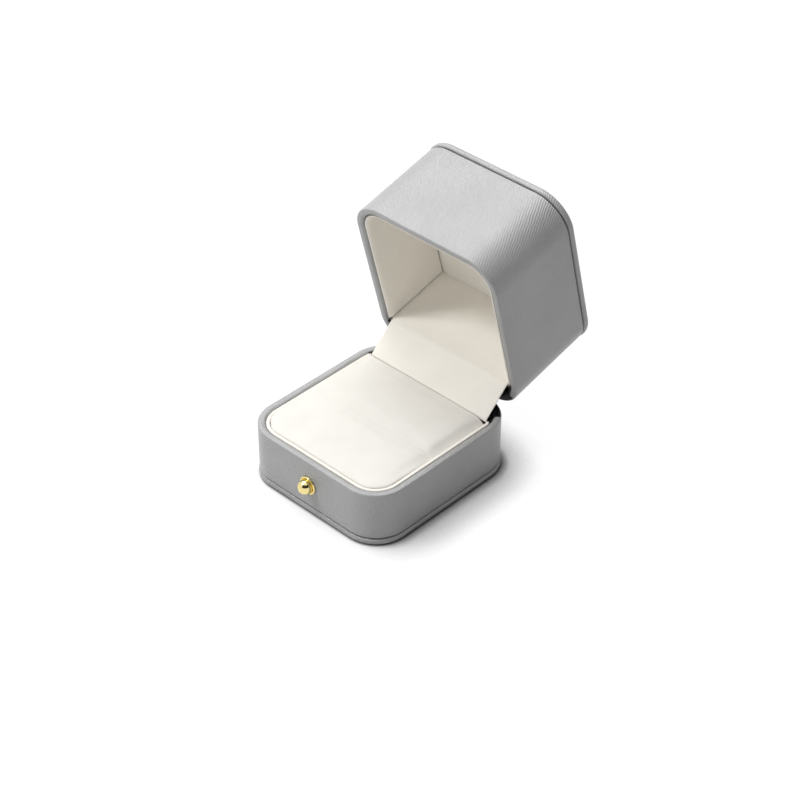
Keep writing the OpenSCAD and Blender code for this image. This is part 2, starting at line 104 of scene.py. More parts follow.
def seen_directly(tree):
    """1 for what the camera sees, also in a mirror or through glass, else 0."""
    ray = tree.nodes.new("ShaderNodeLightPath").outputs
    either = maths(tree, "MAXIMUM", ray["Is Camera Ray"], ray["Is Glossy Ray"])
    return maths(tree, "MAXIMUM", either, ray["Is Transmission Ray"])


ROOM_ON_THINGS, ROOM_SEEN = 0.29, 1.0
world = bpy.data.worlds.new("pale_room")
bpy.context.scene.world = world
world.use_nodes = True
sky = world.node_tree
room_light = sky.nodes["Background"]
room_light.inputs["Color"].default_value = (1, 1, 1, 1)
room_strength = sky.nodes.new("ShaderNodeMix")
room_strength.data_type = "FLOAT"
room_strength.inputs["A"].default_value = ROOM_ON_THINGS
room_strength.inputs["B"].default_value = ROOM_SEEN
sky.links.new(seen_directly(sky), room_strength.inputs["Factor"])
sky.links.new(room_strength.outputs["Result"], room_light.inputs["Strength"])


def mesh_object(name, points, edges, faces):
    mesh = bpy.data.meshes.new(name)
    mesh.from_pydata(points, edges, faces)
    obj = bpy.data.objects.new(name, mesh)
    bpy.context.collection.objects.link(obj)
    return obj


def new_finish(name):
    """A material, its node tree and the shader in it."""
    made = bpy.data.materials.new(name)
    made.use_nodes = True
    return made, made.node_tree, made.node_tree.nodes["Principled BSDF"]


FLOOR_HALF = 2.5
FLOOR_BOUNCE, FLOOR_SEEN, FLOOR_GLOW = 0.60, 0.08, 0.97
FROM_LIT_SIDE = (-0.55, -0.50, 0.67)
floor = mesh_object("table_top", [(-FLOOR_HALF, -FLOOR_HALF, 0), (FLOOR_HALF, -FLOOR_HALF, 0),
                                  (FLOOR_HALF, FLOOR_HALF, 0), (-FLOOR_HALF, FLOOR_HALF, 0)],
                    [], [(0, 1, 2, 3)])
table_white, tree, surface = new_finish("table_white")
surface.inputs["Roughness"].default_value = 0.9
surface.inputs["Specular IOR Level"].default_value = 0.0
surface.inputs["Emission Color"].default_value = (1, 1, 1, 1)
lit_side = tree.nodes.new("ShaderNodeCombineXYZ")
for socket, amount in zip(lit_side.inputs, FROM_LIT_SIDE):
    socket.default_value = amount


def painted_shade_factor(reach, full, steepness, from_lit_side=True):
    """Painted shade on the floor: one where the floor is open, falling towards zero within reach
    of something.
    """
    around = tree.nodes.new("ShaderNodeAmbientOcclusion")
    around.samples, around.only_local = 8, False
    around.inputs["Distance"].default_value = reach
    if from_lit_side:
        tree.links.new(lit_side.outputs["Vector"], around.inputs["Normal"])
    open_share = maths(tree, "DIVIDE", around.outputs["AO"], full)
    return maths(tree, "POWER", maths(tree, "MINIMUM", open_share, 1.0), steepness)


# Painted shadow: the floor glows white where nothing stands near and is painted darker beside the
# box, most on the side away from the lamps; the same painted shade dims the light it bounces
painted_floor_shade = maths(tree, "MULTIPLY", painted_shade_factor(16 * MM, 0.85, 1.5), painted_shade_factor(4 * MM, 0.80, 2.0))
painted_floor_shade = maths(tree, "MULTIPLY", painted_floor_shade,
                   painted_shade_factor(1.0 * MM, 0.90, 1.2, from_lit_side=False))
tone = tree.nodes.new("ShaderNodeMix")
tone.data_type = "RGBA"
tone.inputs["B"].default_value = (FLOOR_SEEN, FLOOR_SEEN, FLOOR_SEEN, 1)
seen = seen_directly(tree)
tree.links.new(seen, tone.inputs["Factor"])
tree.links.new(maths(tree, "MULTIPLY", painted_floor_shade, FLOOR_BOUNCE), tone.inputs["A"])
tree.links.new(tone.outputs["Result"], surface.inputs["Base Color"])
glow = maths(tree, "MULTIPLY", seen, maths(tree, "MULTIPLY", painted_floor_shade, FLOOR_GLOW))
tree.links.new(glow, surface.inputs["Emission Strength"])
floor.data.materials.append(table_white)

# A dark cloth behind and above the camera, seen only in polished metal and leatherette
CLOTH_R, CLOTH_LOW, CLOTH_HIGH = 1.6, 0.45, 2.6
loop = [(CLOTH_R * math.cos(math.radians(a)), CLOTH_R * math.sin(math.radians(a)))
        for a in range(-100, 90, 10)]
cloths = mesh_object("dark_cloths",
                     [(x, y, z) for z in (CLOTH_LOW, CLOTH_HIGH) for x, y in loop], [],
                     [(i, i + 1, len(loop) + i + 1, len(loop) + i)
                      for i in range(len(loop) - 1)])
black_cloth, tree, surface = new_finish("black_cloth")
surface.inputs["Base Color"].default_value = (0.01, 0.01, 0.01, 1)
cloths.data.materials.append(black_cloth)
cloths.visible_camera = cloths.visible_diffuse = cloths.visible_shadow = False
cloths.visible_transmission = False

# ---------------------------------------------------------------- leatherette round the walls
# Grey leatherette with a fine cross grain, glued over the moulded trays of base and lid, taken
# over the rim and turned in. Its two ends meet in the middle of the back wall.
BOX_W, BOX_D, CORNER_R = 56 * MM, 60 * MM, 11 * MM
BASE_H, LID_H, SEAM = 19 * MM, 34.3 * MM, 0.2 * MM
WALL, SKIN, TURN_IN, TURN_R = 2.5 * MM, 0.5 * MM, 5 * MM, 0.12 * MM
RIM_OUT_R, RIM_IN_R = 0.42 * MM, 1.25 * MM
BOARD_T, GROOVE = 2.3 * MM, 0.4 * MM
LID_TOP = BASE_H + SEAM + LID_H
LEAF_T, LEAF_START = 0.6 * MM, math.radians(34)
ARC_STEP, WALL_STEP = math.radians(3), 1.1 * MM

hinge = frame["joints"][0]
HINGE_AXIS = Vector(hinge["pos_m"])
LID_ANGLE = math.radians(max(hinge["range_deg"]))
OPEN_LID = (Matrix.Translation(HINGE_AXIS) @ Matrix.Rotation(-LID_ANGLE, 4, "X")
            @ Matrix.Translation(-HINGE_AXIS))


def outline(end_angle=None):
    """Points round the box's outer face from the middle of the back to itself, or from
    end_angle into one rear corner to the same place in the other."""
    cx, cy = BOX_W / 2 - CORNER_R, BOX_D / 2 - CORNER_R
    corners = [(-cx, cy, 90), (-cx, -cy, 180), (cx, -cy, 270), (cx, cy, 0)]
    points = [] if end_angle is not None else [(0.0, BOX_D / 2)]
    for x, y, start in corners:
        turns = set(np.round(np.arange(0, 90.001, math.degrees(ARC_STEP)), 4))
        if y > 0 and end_angle is not None:
            stop = math.degrees(end_angle)
            turns = {t for t in turns | {stop, 90 - stop}
                     if (t <= stop + 1e-6 if x > 0 else t >= 90 - stop - 1e-6)}
        elif y > 0:
            edge = math.degrees(LEAF_START)
            edge = 90 - edge if x < 0 else edge
            turns |= {edge - 0.02, edge + 0.02}
        for turn in sorted(turns):
            a = math.radians(start + turn)
            points.append((x + CORNER_R * math.cos(a), y + CORNER_R * math.sin(a)))
    if end_angle is None:
        points.append((0.0, BOX_D / 2))
    dense = [points[0]]
    for p, q in zip(points, points[1:]):
        count = max(1, round(math.dist(p, q) / WALL_STEP))
        dense += [(p[0] + (q[0] - p[0]) * i / count, p[1] + (q[1] - p[1]) * i / count)
                  for i in range(1, count + 1)]
    return dense


def rounded(corners, steps=6):
    """A closed outline with each corner (x, z, radius) rounded."""
    out, n = [], len(corners)
    for i, (x, z, r) in enumerate(corners):
        here = Vector((x, z))
        before, after = Vector(corners[i - 1][:2]) - here, Vector(corners[(i + 1) % n][:2]) - here
        if r <= 0:
            out.append(tuple(here))
            continue
        a, b = before.normalized(), after.normalized()
        half = math.acos(max(-1, min(1, a.dot(b)))) / 2
        reach, centre = r / math.tan(half), here + (a + b).normalized() * r / math.sin(half)
        start, stop = here + a * reach - centre, here + b * reach - centre
        sweep = math.pi - 2 * half
        for k in range(steps + 1):
            t = k / steps
            out.append(tuple(centre + (start * math.sin((1 - t) * sweep)
                                       + stop * math.sin(t * sweep)) / math.sin(sweep)))
    return out


def with_steps(loop, step):
    """The same outline with no side longer than step."""
    out = []
    for i, p in enumerate(loop):
        q = loop[(i + 1) % len(loop)]
        count = max(1, math.ceil(math.dist(p, q) / step - 1e-6))
        out += [(p[0] + (q[0] - p[0]) * k / count, p[1] + (q[1] - p[1]) * k / count)
                for k in range(count)]
    return out


def sweep_tree():
    """Geometry Nodes: a section taken round the walls, and closed at its ends if asked."""
    made = bpy.data.node_groups.new("section_round_walls", "GeometryNodeTree")
    sockets = made.interface
    sockets.new_socket("Walls", in_out="INPUT", socket_type="NodeSocketGeometry")
    sockets.new_socket("Section", in_out="INPUT", socket_type="NodeSocketObject")
    sockets.new_socket("Closed ends", in_out="INPUT", socket_type="NodeSocketBool")
    sockets.new_socket("Finish", in_out="INPUT", socket_type="NodeSocketMaterial")
    sockets.new_socket("Piece", in_out="OUTPUT", socket_type="NodeSocketGeometry")
    add, link = made.nodes.new, made.links.new
    given, result = add("NodeGroupInput"), add("NodeGroupOutput")
    walls, section = add("GeometryNodeMeshToCurve"), add("GeometryNodeMeshToCurve")
    upright, source = add("GeometryNodeSetCurveNormal"), add("GeometryNodeObjectInfo")
    upright.mode = "Z_UP"
    sweep, smooth = add("GeometryNodeCurveToMesh"), add("GeometryNodeSetShadeSmooth")
    real, finish = add("GeometryNodeRealizeInstances"), add("GeometryNodeSetMaterial")
    link(given.outputs["Walls"], walls.inputs["Mesh"])
    link(walls.outputs["Curve"], upright.inputs["Curve"])
    link(given.outputs["Section"], source.inputs["Object"])
    link(source.outputs["Geometry"], section.inputs["Mesh"])
    link(upright.outputs["Curve"], sweep.inputs["Curve"])
    link(section.outputs["Curve"], sweep.inputs["Profile Curve"])
    link(given.outputs["Closed ends"], sweep.inputs["Fill Caps"])
    link(sweep.outputs["Mesh"], smooth.inputs["Geometry"])
    link(smooth.outputs["Geometry"], real.inputs["Geometry"])
    link(real.outputs["Geometry"], finish.inputs["Geometry"])
    link(given.outputs["Finish"], finish.inputs["Material"])
    link(finish.outputs["Geometry"], result.inputs["Piece"])
    return made


SWEEP = sweep_tree()


def as_plain_mesh(obj, name):
    """The evaluated object as a new plain mesh object. The maker's object is removed."""
    graph = bpy.context.evaluated_depsgraph_get()
    mesh = bpy.data.meshes.new_from_object(obj.evaluated_get(graph), depsgraph=graph)
    bpy.data.objects.remove(obj)
    mesh.name = name
    made = bpy.data.objects.new(name, mesh)
    bpy.context.collection.objects.link(made)
    return made


def line_object(name, points, closed):
    """A line of edges through points (x, y), as Mesh to Curve takes it."""
    edges = [(i, i + 1) for i in range(len(points) - 1)]
    if closed:
        edges.append((len(points) - 1, 0))
    return mesh_object(name, [(x, y, 0) for x, y in points], edges, [])


def round_the_walls(name, section, finish, end_angle=None):
    """A closed section, as (depth inwards, height), taken round the walls."""
    maker = line_object(name + "_walls", outline(end_angle), False)
    profile = line_object(name + "_section", [(-x, -z) for x, z in section], True)
    maker.modifiers.new("sweep", "NODES").node_group = SWEEP
    inputs = {s.name: s.identifier for s in SWEEP.interface.items_tree if s.in_out == "INPUT"}
    maker.modifiers["sweep"][inputs["Section"]] = profile
    maker.modifiers["sweep"][inputs["Closed ends"]] = end_angle is not None
    maker.modifiers["sweep"][inputs["Finish"]] = finish
    made = as_plain_mesh(maker, name)
    bpy.data.objects.remove(profile)
    return made


def depth_at(x, y):
    """How far inside the box's outer face a point is."""
    cx, cy = BOX_W / 2 - CORNER_R, BOX_D / 2 - CORNER_R
    out_x, out_y = max(abs(x) - cx, 0), max(abs(y) - cy, 0)
    return CORNER_R - math.hypot(out_x, out_y)


def walked(x, y):
    """Length along the outer face to the place that a point faces."""
    cx, cy = BOX_W / 2 - CORNER_R, BOX_D / 2 - CORNER_R
    arc = CORNER_R * math.pi / 2
    if y >= cy and abs(x) <= cx:
        return -x if x <= 0 else 4 * arc + 4 * cy + 4 * cx - x
    if abs(y) <= cy:
        return cx + arc + cy - y if x < 0 else 3 * cx + 3 * arc + 3 * cy + y
    if y <= -cy and abs(x) <= cx:
        return 2 * cx + 2 * arc + 2 * cy + x
    turn = math.atan2(abs(y) - cy, abs(x) - cx)
    if x < 0:
        return (cx + arc * (1 - turn / (math.pi / 2)) if y > 0
                else cx + arc + 2 * cy + arc * turn / (math.pi / 2))
    return (3 * cx + 2 * arc + 2 * cy + arc * (1 - turn / (math.pi / 2)) if y < 0
            else 3 * cx + 3 * arc + 4 * cy + arc * turn / (math.pi / 2))


def lay_grain(obj, rim=None):
    """A map in metres that runs round the walls, on over a rim at a height, and straight across
    flat faces, so that the grain lies on the surface as on a glued sheet."""
    mesh = obj.data
    layer = mesh.uv_layers.new(name="grain_lie").data
    whole = walked(1e-9, BOX_D / 2)
    for face in mesh.polygons:
        flat = rim is None and abs(face.normal.z) > 0.75
        for corner in face.loop_indices:
            x, y, z = mesh.vertices[mesh.loops[corner].vertex_index].co
            if flat:
                layer[corner].uv = (x, y)
                continue
            u = walked(x, y)
            if abs(x) < 1e-6 and y > 0:
                u = 0.0 if face.center.x < 0 else whole
            deep = depth_at(x, y)
            layer[corner].uv = (u, z + deep if rim is None or deep < WALL / 2
                                else 2 * rim - z + deep)


def tidy_mesh(obj):
    """Doubles merged and faces turned outwards."""
    work = bmesh.new()
    work.from_mesh(obj.data)
    bmesh.ops.remove_doubles(work, verts=work.verts, dist=1e-6)
    bmesh.ops.recalc_face_normals(work, faces=work.faces)
    work.to_mesh(obj.data)
    work.free()


def shader_group(name, inputs, outputs):
    made = bpy.data.node_groups.new(name, "ShaderNodeTree")
    for label, kind, value in inputs:
        socket = made.interface.new_socket(label, in_out="INPUT", socket_type=kind)
        if value is not None:
            socket.default_value = value
    for label, kind in outputs:
        made.interface.new_socket(label, in_out="OUTPUT", socket_type=kind)
    return made, made.nodes.new("NodeGroupInput"), made.nodes.new("NodeGroupOutput")


def speckle(tree, place, scale, detail=2.0, rough=0.5):
    node = tree.nodes.new("ShaderNodeTexNoise")
    tree.links.new(place, node.inputs["Vector"])
    node.inputs["Detail"].default_value = detail
    node.inputs["Roughness"].default_value = rough
    if isinstance(scale, bpy.types.NodeSocket):
        tree.links.new(scale, node.inputs["Scale"])
    else:
        node.inputs["Scale"].default_value = scale
    return node.outputs["Fac"]


def stripes(tree, place, direction, pitch, waver):
    """Even ridges across a direction, at a pitch, that waver a little."""
    along = tree.nodes.new("ShaderNodeVectorMath")
    along.operation = "DOT_PRODUCT"
    tree.links.new(place, along.inputs[0])
    along.inputs[1].default_value = direction
    turns = maths(tree, "ADD", maths(tree, "DIVIDE", along.outputs["Value"], pitch), waver)
    wave = maths(tree, "SINE", maths(tree, "MULTIPLY", turns, 2 * math.pi))
    return maths(tree, "MULTIPLY_ADD", wave, 0.5, 0.5)


GRAIN_PITCH, GRAIN_WAVER = 0.73 * MM, 0.9
TWILL_ACROSS, CROSS_ACROSS, WIDE_BY = (0.90, -0.43, 0), (0.08, -1.0, 0), 1.8
CROSS_GRAIN, given, result = shader_group(
    "cross_grain",
    [("Place", "NodeSocketVector", None), ("Pitch", "NodeSocketFloat", GRAIN_PITCH),
     ("Waver", "NodeSocketFloat", GRAIN_WAVER)],
    [("Height", "NodeSocketFloat"), ("Tone", "NodeSocketFloat"), ("Hollows", "NodeSocketFloat")])
spot, pitch = given.outputs["Place"], given.outputs["Pitch"]
waver = maths(CROSS_GRAIN, "MULTIPLY", speckle(CROSS_GRAIN, spot, 450.0), given.outputs["Waver"])
twill = stripes(CROSS_GRAIN, spot, TWILL_ACROSS, pitch, waver)
cross = stripes(CROSS_GRAIN, spot, CROSS_ACROSS,
                maths(CROSS_GRAIN, "MULTIPLY", pitch, WIDE_BY), waver)
pores = speckle(CROSS_GRAIN, spot, 2300.0, 4.0, 0.65)
weave = maths(CROSS_GRAIN, "MULTIPLY_ADD", cross, 0.35,
              maths(CROSS_GRAIN, "MULTIPLY", twill, 0.65))
raised = maths(CROSS_GRAIN, "MULTIPLY_ADD", weave, 0.06,
               maths(CROSS_GRAIN, "MULTIPLY", pores, 0.94))
for label, value in (("Height", maths(CROSS_GRAIN, "MULTIPLY_ADD", pores, 0.55, weave)),
                     ("Hollows", maths(CROSS_GRAIN, "SUBTRACT", 1.0, raised)),
                     ("Tone", speckle(CROSS_GRAIN, spot, 70.0, 3.0))):
    CROSS_GRAIN.links.new(value, result.inputs[label])


def blend_tone(tree, factor, dark, light):
    node = tree.nodes.new("ShaderNodeMix")
    node.data_type = "RGBA"
    node.inputs["A"].default_value = (*dark, 1)
    node.inputs["B"].default_value = (*light, 1)
    tree.links.new(factor, node.inputs["Factor"])
    return node.outputs["Result"]


def relief(tree, shader, height_socket, depth):
    """Bumps on a finish. A height of one stands out by depth."""
    bump = tree.nodes.new("ShaderNodeBump")
    bump.inputs["Strength"].default_value = 1.0
    bump.inputs["Distance"].default_value = depth
    tree.links.new(height_socket, bump.inputs["Height"])
    tree.links.new(bump.outputs["Normal"], shader.inputs["Normal"])


def placed_group(tree, group, place_socket, **values):
    node = tree.nodes.new("ShaderNodeGroup")
    node.node_tree = group
    tree.links.new(place_socket, node.inputs["Place"])
    for label, value in values.items():
        node.inputs[label.replace("_", " ")].default_value = value
    return node


leatherette, tree, surface = new_finish("leatherette_cross_grain")
lie = tree.nodes.new("ShaderNodeUVMap")
lie.uv_map = "grain_lie"
grain = placed_group(tree, CROSS_GRAIN, lie.outputs["UV"], Pitch=GRAIN_PITCH, Waver=GRAIN_WAVER)
# Colour: a random mottle, painted darker in the grain's hollows as painted shade
worn = maths(tree, "MULTIPLY_ADD", grain.outputs["Tone"], 0.35, 0.55)
shade = maths(tree, "SUBTRACT", worn, maths(tree, "MULTIPLY", grain.outputs["Hollows"], 0.5))
tree.links.new(blend_tone(tree, maths(tree, "ADD", shade, 0.05, clamp=True),
                          (0.23, 0.23, 0.232), (0.49, 0.49, 0.493)), surface.inputs["Base Color"])
tree.links.new(maths(tree, "MULTIPLY_ADD", grain.outputs["Hollows"], 0.20, 0.27),
               surface.inputs["Roughness"])
surface.inputs["Specular IOR Level"].default_value = 0.45
surface.inputs["Coat Weight"].default_value = 0.25
surface.inputs["Coat Roughness"].default_value = 0.28
relief(tree, surface, grain.outputs["Height"], 0.12 * MM)


def own_material(name, dark, light, scale, rough, metal=0.0, relief_depth=0.0, fine=2.0):
    """A plain finish with a light mottle, for parts that hardly show."""
    made, tree, shader = new_finish(name)
    place = tree.nodes.new("ShaderNodeTexCoord").outputs["Object"]
    mottle = speckle(tree, place, scale, fine, 0.6)
    tree.links.new(blend_tone(tree, mottle, dark, light), shader.inputs["Base Color"])
    tree.links.new(maths(tree, "MULTIPLY_ADD", mottle, rough[1] - rough[0], rough[0]),
                   shader.inputs["Roughness"])
    shader.inputs["Metallic"].default_value = metal
    if relief_depth:
        relief(tree, shader, mottle, relief_depth)
    return made


def dress(node, material):
    frame["nodes"][node].data.materials.clear()
    frame["nodes"][node].data.materials.append(material)


def smooth_by_angle(obj, degrees):
    obj.data.shade_smooth()
    obj.data.set_sharp_from_angle(angle=math.radians(degrees))


def lid_place(obj, mirrored=True):
    """From the lid's own frame, closed board at zero and rim up, or from the shut box, to where
    the open lid is."""
    if mirrored:
        obj.data.transform(Matrix.Translation((0, 0, LID_TOP)) @ Matrix.Diagonal((1, 1, -1, 1)))
        obj.data.flip_normals()
    obj.data.transform(OPEN_LID)


def wall_wrap(name, height, node, body):
    """Leatherette of a tray. It is pressed down where the hinge leaf lies on the rim."""
    loop = with_steps(rounded([
        (0, BOARD_T + GROOVE + 0.18 * MM, TURN_R), (0, height, RIM_OUT_R),
        (WALL, height, RIM_IN_R), (WALL, height - TURN_IN, TURN_R),
        (WALL - SKIN, height - TURN_IN, TURN_R),
        (WALL - SKIN, height - SKIN, 0.3 * MM), (SKIN, height - SKIN, 0.3 * MM),
        (SKIN, BOARD_T + GROOVE, TURN_R)]), 1.2 * MM)
    wrap = round_the_walls(name, loop, leatherette)
    tidy_mesh(wrap)
    cx, cy = BOX_W / 2 - CORNER_R, BOX_D / 2 - CORNER_R
    seat = height - LEAF_T
    for v in wrap.data.vertices:
        x, y, z = v.co
        beyond = max(abs(x) - cx, 0)
        if y - cy > beyond * math.tan(LEAF_START) + 1e-9 and z > seat:
            v.co.z = seat - (height - z) * 0.02
    lay_grain(wrap, rim=height)
    smooth_by_angle(wrap, 40)
    if body == "lid":
        lid_place(wrap)
    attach(wrap, body)
    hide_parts(node)


wall_wrap("base_leatherette", BASE_H, "base_skin", "base")
wall_wrap("lid_leatherette", LID_H, "lid_skin", "lid")

# The trays are coloured near black, painted shade so that the groove between leatherette and board
# reads dark
near_black_painted_shade_moulding = own_material("grey_moulding", (0.030, 0.030, 0.031), (0.045, 0.045, 0.046), 300.0,
                        (0.45, 0.6), relief_depth=0.01 * MM)
dress("base_shell", near_black_painted_shade_moulding)
dress("lid_shell", near_black_painted_shade_moulding)

# ---------------------------------------------------------------- covered boards
# Closing boards under the base and on the lid: greyboard wrapped in the same leatherette with
# soft edges. They stand a hair proud of the walls, with a fine groove between.
BOARD_EDGE_R, GROOVE_EDGE_R, BOARD_CROWN, PROUD = 1.3 * MM, 0.6 * MM, 0.10 * MM, 0.25 * MM


def plan_loop(inset, steps=24, side_steps=20):
    """The box's outline drawn in by inset, anticlockwise, its corners in equal steps."""
    r = max(CORNER_R - inset, 0.3 * MM)
    cx, cy = BOX_W / 2 - inset - r, BOX_D / 2 - inset - r
    loop = []
    for x, y, start in ((cx, -cy, -90), (cx, cy, 0), (-cx, cy, 90), (-cx, -cy, 180)):
        loop += [(x + r * math.cos(math.radians(start + 90 * i / steps)),
                  y + r * math.sin(math.radians(start + 90 * i / steps)))
                 for i in range(steps + 1)]
    whole = []
    for i, p in enumerate(loop):
        q = loop[(i + 1) % len(loop)]
        whole.append(p)
        if i % (steps + 1) == steps:
            whole += [(p[0] + (q[0] - p[0]) * k / side_steps,
                       p[1] + (q[1] - p[1]) * k / side_steps) for k in range(1, side_steps)]
    return whole


def from_loops(name, loops):
    """A closed form through loops of equally many points, its first and last loop filled."""
    count = len(loops[0])
    points = [p for loop in loops for p in loop]
    faces = [tuple(reversed(range(count)))]
    for i in range(len(loops) - 1):
        for j in range(count):
            k = (j + 1) % count
            faces.append((i * count + j, i * count + k, (i + 1) * count + k, (i + 1) * count + j))
    faces.append(tuple(range((len(loops) - 1) * count, len(loops) * count)))
    return mesh_object(name, points, [], faces)


def covered_board(name, node, body, crown):
    levels = [(9.5 * MM, -crown), (6 * MM, -0.92 * crown), (3.2 * MM, -0.6 * crown),
              (1.7 * MM, -0.15 * crown), (BOARD_EDGE_R - PROUD, 0)]
    for i in range(1, 9):
        a = math.radians(90 * i / 8)
        levels.append((BOARD_EDGE_R * (1 - math.sin(a)) - PROUD, BOARD_EDGE_R * (1 - math.cos(a))))
    for i in range(9):
        a = math.radians(90 * i / 8)
        levels.append((GROOVE_EDGE_R * (1 - math.cos(a)) - PROUD,
                       BOARD_T - GROOVE_EDGE_R * (1 - math.sin(a))))
    levels.append((3 * MM, BOARD_T))
    board = from_loops(name, [[(x, y, z) for x, y in plan_loop(inset)] for inset, z in levels])
    board.data.materials.append(leatherette)
    tidy_mesh(board)
    lay_grain(board)
    smooth_by_angle(board, 50)
    if body == "lid":
        lid_place(board)
    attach(board, body)
    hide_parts(node)


covered_board("base_board_leatherette", "base_plate_skin", "base", 0.0)
covered_board("lid_board_leatherette", "lid_plate_skin", "lid", BOARD_CROWN)

greyboard = own_material("greyboard_pulp", (0.20, 0.19, 0.17), (0.34, 0.33, 0.30), 1400.0,
                         (0.85, 0.95), relief_depth=0.03 * MM, fine=4.0)
for node in ("base_plate_board", "lid_plate_board"):
    dress(node, greyboard)

# ---------------------------------------------------------------- lining strips
# Ivory suede on thin card, sprung round three sides of base and lid. The suede is turned over
# the card's edge towards the rim, where its fold shows as a pale line.
STRIP_IN, STRIP_CARD_IN, SUEDE_T, FIBRE = 3.7 * MM, 3.3 * MM, 0.4 * MM, 0.09 * MM

SUEDE_NAP, given, result = shader_group(
    "suede_nap",
    [("Place", "NodeSocketVector", None), ("Fibre size", "NodeSocketFloat", FIBRE)],
    [("Height", "NodeSocketFloat"), ("Tone", "NodeSocketFloat")])
spot = given.outputs["Place"]
per_metre = maths(SUEDE_NAP, "DIVIDE", 1.0, given.outputs["Fibre size"])
fibres = speckle(SUEDE_NAP, spot, per_metre, 3.0, 0.6)
strokes = speckle(SUEDE_NAP, spot, 120.0, 3.0, 0.55)
SUEDE_NAP.links.new(maths(SUEDE_NAP, "MULTIPLY_ADD", strokes, 0.4, fibres),
                    result.inputs["Height"])
SUEDE_NAP.links.new(maths(SUEDE_NAP, "MULTIPLY_ADD", fibres, 0.35,
                          maths(SUEDE_NAP, "MULTIPLY", strokes, 0.65)), result.inputs["Tone"])


def suede(name, dark, light, sheen):
    made, tree, shader = new_finish(name)
    place = tree.nodes.new("ShaderNodeTexCoord").outputs["Object"]
    nap = placed_group(tree, SUEDE_NAP, place, Fibre_size=FIBRE)
    tree.links.new(blend_tone(tree, nap.outputs["Tone"], dark, light), shader.inputs["Base Color"])
    tree.links.new(maths(tree, "MULTIPLY_ADD", nap.outputs["Tone"], 0.12, 0.84),
                   shader.inputs["Roughness"])
    shader.inputs["Specular IOR Level"].default_value = 0.2
    shader.inputs["Sheen Weight"].default_value = sheen
    shader.inputs["Sheen Roughness"].default_value = 0.5
    relief(tree, shader, nap.outputs["Height"], 0.05 * MM)
    return made


# Painted light: the lining's copy of the ivory suede is lighter than the cushion's, standing in
# for light in the shade inside the lid
lining_suede_painted_lighter = suede("lining_suede_ivory", (0.81, 0.775, 0.705), (0.95, 0.915, 0.85), 0.15)


def lining_strip(name, rim_z, far_z, end_y, gap, roll, node, body):
    """One strip. Its fold leans over the card's edge for the length roll."""
    start = WALL + gap + 0.3 * MM
    fold = [(start + (STRIP_IN - start) * math.sin(math.radians(15 * k)),
             rim_z - roll * (1 - math.cos(math.radians(15 * k))), 0) for k in range(7)]
    loop = with_steps(rounded([(WALL + gap, rim_z, 0.25 * MM)] + fold + [
        (STRIP_IN, far_z, 0.35 * MM), (STRIP_CARD_IN, far_z, 0),
        (STRIP_CARD_IN, rim_z - SUEDE_T, 0), (WALL + gap, rim_z - SUEDE_T - 0.1 * MM, 0)],
        5), 1.5 * MM)
    cy = BOX_D / 2 - CORNER_R
    strip = round_the_walls(name, loop, lining_suede_painted_lighter,
                            math.asin((end_y - cy) / (CORNER_R - WALL)))
    tidy_mesh(strip)
    smooth_by_angle(strip, 50)
    if body == "lid":
        lid_place(strip)
    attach(strip, body)
    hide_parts(node)


lining_strip("base_collar", 18.7 * MM, 3.5 * MM, 21.3 * MM, 0.05 * MM, 0.45 * MM,
             "base_collar_suede", "base")
lining_strip("lid_wall_lining", 33.75 * MM, 9.35 * MM, 19.7 * MM, 0.32 * MM, 1.8 * MM,
             "lid_wall_suede", "lid")
for node in ("base_collar_card", "lid_wall_card", "cushion_board"):
    dress(node, greyboard)

# ---------------------------------------------------------------- back lining and hinge flap
# Suede on card: the back panel of the lid and, past the fold in front of the hinge, the flap
# whose turned hem stands behind the cushion. A second panel lies deep in the lid.
BACK_Y, FOLD_Z, DEEP_Z = 20.0 * MM, 19.5 * MM, 44.5 * MM
PANEL_HALF, FLAP_HALF = 24.9 * MM, 24.0 * MM
FLAP_LEN, FLAP_TILT, FOLD_R = 12.05 * MM, math.radians(29.08), 3.0 * MM
HEM_LEN, HEM_TILT, HEM_R = 0.9 * MM, math.radians(75.5), 0.5 * MM


def back_profile(s):
    """Place and outward direction of the lining's face, at a length s below the deep panel, in
    the shut box's (y, z)."""
    panel = DEEP_Z - FOLD_Z
    lead = FOLD_R * math.tan(FLAP_TILT / 2)
    if s <= panel - lead:
        return (BACK_Y, DEEP_Z - s), (-1, 0)
    if s <= panel - lead + FOLD_R * FLAP_TILT:
        a = (s - panel + lead) / FOLD_R
        centre = (BACK_Y + FOLD_R, FOLD_Z + lead)
        return ((centre[0] - FOLD_R * math.cos(a), centre[1] - FOLD_R * math.sin(a)),
                (-math.cos(a), -math.sin(a)))
    t = s - (panel - lead + FOLD_R * FLAP_TILT) + lead
    along = min(t, FLAP_LEN)
    y, z = BACK_Y + along * math.sin(FLAP_TILT), FOLD_Z - along * math.cos(FLAP_TILT)
    a = FLAP_TILT + min(max(t - FLAP_LEN, 0) / HEM_R, HEM_TILT - FLAP_TILT)
    y += HEM_R * (math.cos(FLAP_TILT) - math.cos(a))
    z += HEM_R * (math.sin(FLAP_TILT) - math.sin(a))
    down = max(t - FLAP_LEN - HEM_R * (HEM_TILT - FLAP_TILT), 0)
    return ((y + down * math.sin(a), z - down * math.cos(a)), (-math.cos(a), -math.sin(a)))


def roll(inside, thickness, radius):
    """Thickness of a pad at a distance inside its edge."""
    t = min(max(inside / radius, 0), 1)
    return thickness * math.sqrt(1 - (1 - t) ** 2)


def graded(length, fine, reach, coarse):
    """Stations along a length, close together near both ends."""
    ends = [reach * (1 - math.cos(math.pi / 2 * i / fine)) for i in range(fine)]
    count = max(2, round((length - 2 * reach) / coarse))
    middle = [reach + (length - 2 * reach) * i / count for i in range(count + 1)]
    return ends + middle + [length - e for e in reversed(ends)]


